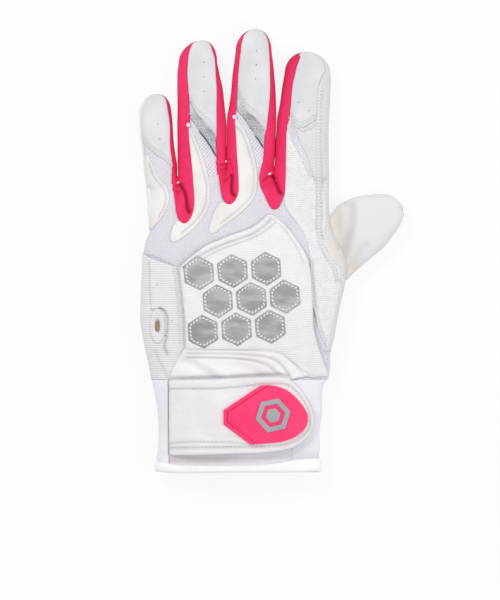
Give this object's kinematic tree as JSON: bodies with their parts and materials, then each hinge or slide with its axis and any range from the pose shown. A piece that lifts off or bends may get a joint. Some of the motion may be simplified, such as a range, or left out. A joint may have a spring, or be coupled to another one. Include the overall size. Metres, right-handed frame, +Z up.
{
  "type": "batting glove",
  "caption": "Left-hand batting glove with separate fingers, pink stretch sides, padded knuckle panel with silver patches, and a hook-and-loop wrist strap.",
  "frame": {"origin": "on the surface that the palm lies on, under the middle of the glove", "axes": "+Z up out of the back of the hand, +Y along the fingers, +X towards the thumb"},
  "size_m": [0.1324, 0.2214, 0.023],
  "materials": {
    "palm_leather": "smooth soft white leather, fine grain",
    "ribbed_leather": "white leather embossed with fine cross ribs",
    "dotted_panel": "white synthetic leather embossed with small dots",
    "smooth_leather": "smooth white synthetic leather, soft sheen",
    "cream_leaf": "warm white leather, fine grain",
    "pad_panel": "padded white woven panel with fine cross ribs",
    "tip_panel": "cool white synthetic leather, perforated",
    "lavender_mesh": "pale lavender honeycomb mesh",
    "pink_stretch": "hot pink stretch fabric",
    "silver_panel": "brushed silver foil leather",
    "cuff_knit": "pale lavender rib knit",
    "cuff_hem": "white turned hem",
    "loop_fabric": "white brushed loop fabric",
    "hook_fabric": "white hook fabric",
    "pink_rubber": "moulded pink rubber, satin"
  },
  "bodies": {
    "hand": {"palm_leather": "palm_leather", "pinky_side_panel": "ribbed_leather", "thumb_side_panel": "dotted_panel", "back_mesh": "lavender_mesh", "wrist_vamp": "smooth_leather", "pinky_lower_leaf": "cream_leaf", "ring_lower_leaf": "cream_leaf", "middle_lower_leaf": "cream_leaf", "tongue_pinky_ring": "pink_stretch", "tongue_ring_middle": "pink_stretch", "tongue_middle_index": "pink_stretch", "knuckle_pad": "pad_panel", "silver_patch_1": "silver_panel", "silver_patch_2": "silver_panel", "silver_patch_3": "silver_panel", "silver_patch_4": "silver_panel", "silver_patch_5": "silver_panel", "silver_patch_6": "silver_panel", "silver_patch_7": "silver_panel", "silver_patch_8": "silver_panel", "silver_patch_9": "silver_panel", "cuff_palm": "cuff_knit", "cuff_pinky_side": "cuff_knit", "cuff_thumb_side": "cuff_knit", "cuff_back": "cuff_knit", "cuff_hem": "cuff_hem", "loop_patch": "loop_fabric", "pull_tab": "ribbed_leather"},
    "strap_body": {"strap": "smooth_leather", "hook_patch": "hook_fabric", "strap_badge": "pink_rubber"},
    "pinky": {"pinky_palm": "palm_leather", "pinky_leaf": "cream_leaf", "pinky_gusset": "pink_stretch", "pinky_back": "lavender_mesh", "pinky_tip_panel": "tip_panel"},
    "ring": {"ring_palm": "palm_leather", "ring_gusset_left": "pink_stretch", "ring_gusset_right": "pink_stretch", "ring_back": "lavender_mesh", "ring_tip_panel": "tip_panel", "ring_insert": "silver_panel", "ring_leaf": "cream_leaf"},
    "middle": {"middle_palm": "palm_leather", "middle_gusset_left": "pink_stretch", "middle_gusset_right": "pink_stretch", "middle_back": "lavender_mesh", "middle_tip_panel": "tip_panel", "middle_insert": "silver_panel", "middle_leaf": "cream_leaf"},
    "index": {"index_palm": "palm_leather", "index_gusset": "pink_stretch", "index_side_strip": "ribbed_leather", "index_back": "lavender_mesh", "index_tip_panel": "tip_panel", "index_leaf": "dotted_panel"},
    "thumb": {"thumb_palm": "palm_leather", "thumb_inner_side": "palm_leather", "thumb_outer_side": "palm_leather", "thumb_back": "palm_leather"}
  },
  "joints": [
    {"name": "pinky_flex", "type": "hinge", "parent": "hand", "child": "pinky", "pos_m": [-0.05616, 0.03104, 0], "axis": [-0.9989, -0.0471, 0], "range_deg": [0, 80]},
    {"name": "ring_flex", "type": "hinge", "parent": "hand", "child": "ring", "pos_m": [-0.03566, 0.03604, 0], "axis": [-1, 0, 0], "range_deg": [0, 80]},
    {"name": "middle_flex", "type": "hinge", "parent": "hand", "child": "middle", "pos_m": [-0.01156, 0.03904, 0], "axis": [-0.999, 0.0454, 0], "range_deg": [0, 80]},
    {"name": "index_flex", "type": "hinge", "parent": "hand", "child": "index", "pos_m": [0.01424, 0.03504, 0], "axis": [-0.9991, 0.0427, 0], "range_deg": [0, 80]},
    {"name": "thumb_flex", "type": "hinge", "parent": "hand", "child": "thumb", "pos_m": [0.03129, 0.00054, 0], "axis": [-0.2147, 0.9767, 0], "range_deg": [0, 60]},
    {"name": "strap_lift", "type": "hinge", "parent": "hand", "child": "strap_body", "pos_m": [-0.05241, -0.08306, 0.0137], "axis": [0, -1, 0], "range_deg": [0, 110]}
  ]
}
